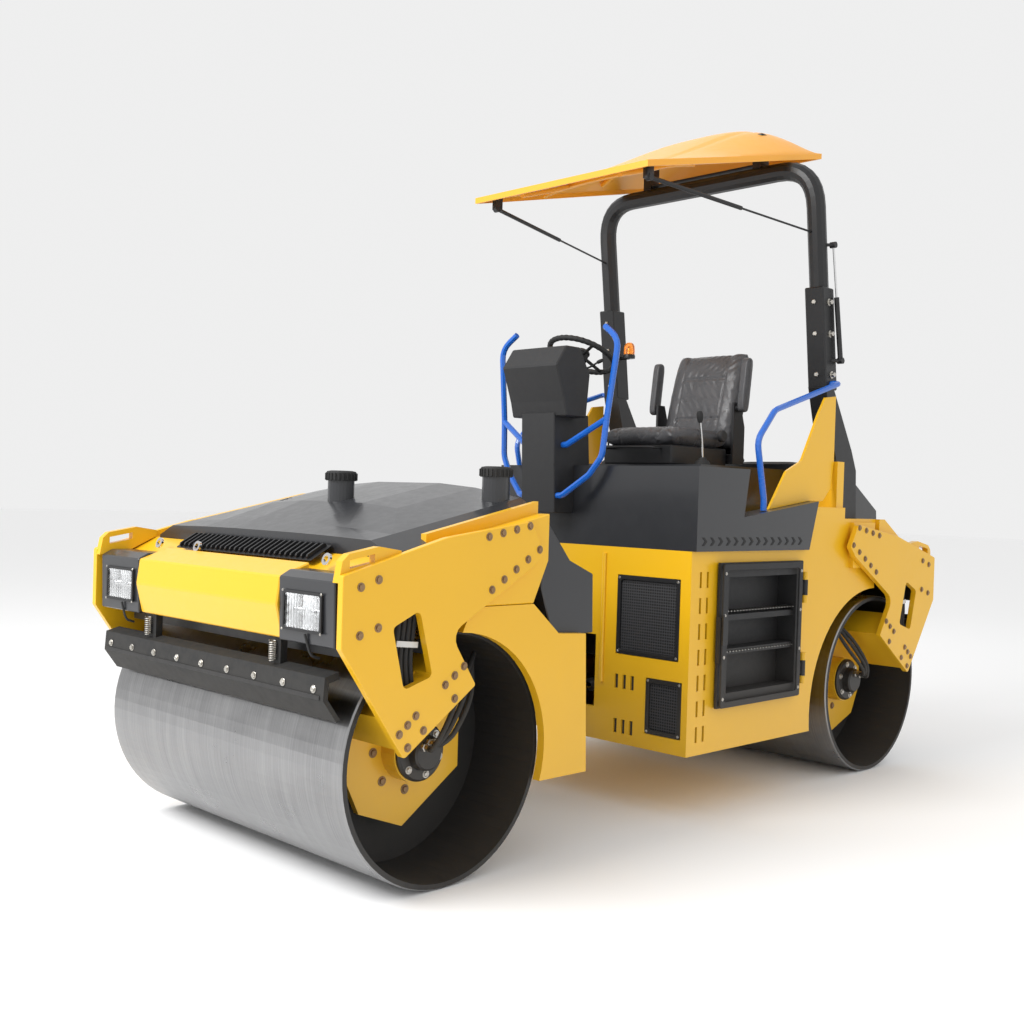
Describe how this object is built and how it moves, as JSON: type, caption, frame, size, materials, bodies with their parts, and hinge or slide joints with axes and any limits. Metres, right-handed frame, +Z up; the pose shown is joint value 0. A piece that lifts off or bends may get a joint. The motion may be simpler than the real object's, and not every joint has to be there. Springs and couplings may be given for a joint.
{
  "type": "tandem road roller",
  "caption": "Articulated tandem road roller with two smooth steel drums, open operator's station, roll-over hoop with canopy, step doors and working steering joint.",
  "frame": {"origin": "on the ground, on the centre plane, half-way between the two drum axles", "axes": "+X forward, +Y the machine's left, +Z up"},
  "size_m": [4.412, 1.86, 3.6523],
  "materials": {
    "frame_yellow": "satin machine yellow",
    "panel_grey": "satin dark grey",
    "black_paint": "satin black",
    "drum_steel": "machined steel",
    "black_trim": "matt",
    "rail_blue": "gloss blue",
    "seat_vinyl": "smooth vinyl",
    "rod_chrome": "hard chrome"
  },
  "bodies": {
    "rear_frame": {"canopy": "frame_yellow", "canopy_stay_left": "black_paint", "canopy_stay_right": "black_paint", "console": "panel_grey", "console_rail_left": "rail_blue", "console_rail_right": "rail_blue", "engine": "black_paint", "grab_rail_left": "rail_blue", "grab_rail_right": "rail_blue", "platform": "panel_grey", "rear_body": "frame_yellow", "rear_bumper": "frame_yellow", "rear_clevis": "black_paint", "rear_hood": "panel_grey", "rear_light_left": "panel_grey", "rear_light_right": "panel_grey", "rear_scraper": "black_trim", "rear_yoke_left": "frame_yellow", "rear_yoke_right": "frame_yellow", "rollover_hoop": "black_paint", "seat_backrest": "seat_vinyl", "seat_base": "black_paint", "seat_cushion": "seat_vinyl", "side_guard_left": "frame_yellow", "side_guard_right": "frame_yellow"},
    "front_drum": {"front_drum": "drum_steel"},
    "rear_drum": {"rear_drum": "drum_steel"},
    "centre_link": {"centre_link": "black_paint"},
    "front_frame": {"front_bumper": "frame_yellow", "front_fender_left": "frame_yellow", "front_fender_right": "frame_yellow", "front_frame_tank": "frame_yellow", "front_hood": "panel_grey", "front_light_left": "panel_grey", "front_light_right": "panel_grey", "front_neck": "panel_grey", "front_scraper": "black_trim", "front_yoke_left": "frame_yellow", "front_yoke_right": "frame_yellow"},
    "steering_wheel": {"steering_wheel": "black_trim"},
    "step_door_left": {"step_door_left": "black_paint"},
    "step_door_right": {"step_door_right": "black_paint"},
    "armrest_left": {"armrest_left": "seat_vinyl"},
    "armrest_right": {"armrest_right": "seat_vinyl"},
    "steering_barrel": {"steering_barrel": "black_paint"},
    "steering_rod": {"steering_rod": "rod_chrome"}
  },
  "joints": [
    {"name": "articulation", "type": "hinge", "parent": "rear_frame", "child": "centre_link", "pos_m": [0.43, 0, 0.65], "axis": [0, 0, 1], "range_deg": [-35, 35]},
    {"name": "oscillation", "type": "hinge", "parent": "centre_link", "child": "front_frame", "pos_m": [0.73, 0, 0.65], "axis": [1, 0, 0], "range_deg": [-8, 8]},
    {"name": "front_drum_spin", "type": "hinge", "parent": "front_frame", "child": "front_drum", "pos_m": [1.63, 0, 0.5], "axis": [0, 1, 0], "continuous": true},
    {"name": "rear_drum_spin", "type": "hinge", "parent": "rear_frame", "child": "rear_drum", "pos_m": [-1.63, 0, 0.5], "axis": [0, 1, 0], "continuous": true},
    {"name": "steering_wheel_turn", "type": "hinge", "parent": "rear_frame", "child": "steering_wheel", "pos_m": [-0.01, 0, 2.26], "axis": [-0.4226, 0, 0.9063], "continuous": true},
    {"name": "step_door_left_swing", "type": "hinge", "parent": "rear_frame", "child": "step_door_left", "pos_m": [-0.805, 0.9, 0.8], "axis": [0, 0, 1], "range_deg": [0, 110]},
    {"name": "step_door_right_swing", "type": "hinge", "parent": "rear_frame", "child": "step_door_right", "pos_m": [-0.805, -0.9, 0.8], "axis": [0, 0, -1], "range_deg": [0, 110]},
    {"name": "armrest_left_fold", "type": "hinge", "parent": "rear_frame", "child": "armrest_left", "pos_m": [-0.795, 0.48, 2.0256], "axis": [0, 1, 0], "range_deg": [0, 95]},
    {"name": "armrest_right_fold", "type": "hinge", "parent": "rear_frame", "child": "armrest_right", "pos_m": [-0.795, -0.12, 2.0256], "axis": [0, 1, 0], "range_deg": [0, 95]},
    {"name": "steering_barrel_swing", "type": "hinge", "parent": "rear_frame", "child": "steering_barrel", "pos_m": [-0.42, 0.2, 0.56], "axis": [0, 0, 1], "range_deg": [-5, 5]},
    {"name": "steering_rod_slide", "type": "slide", "parent": "steering_barrel", "child": "steering_rod", "axis": [0.9997, 0.0235, 0], "range_m": [-0.135, 0.135]}
  ],
  "couplings": [
    {"joint": "steering_rod_slide", "follows": "articulation", "m_per_rad": -0.20651}
  ]
}
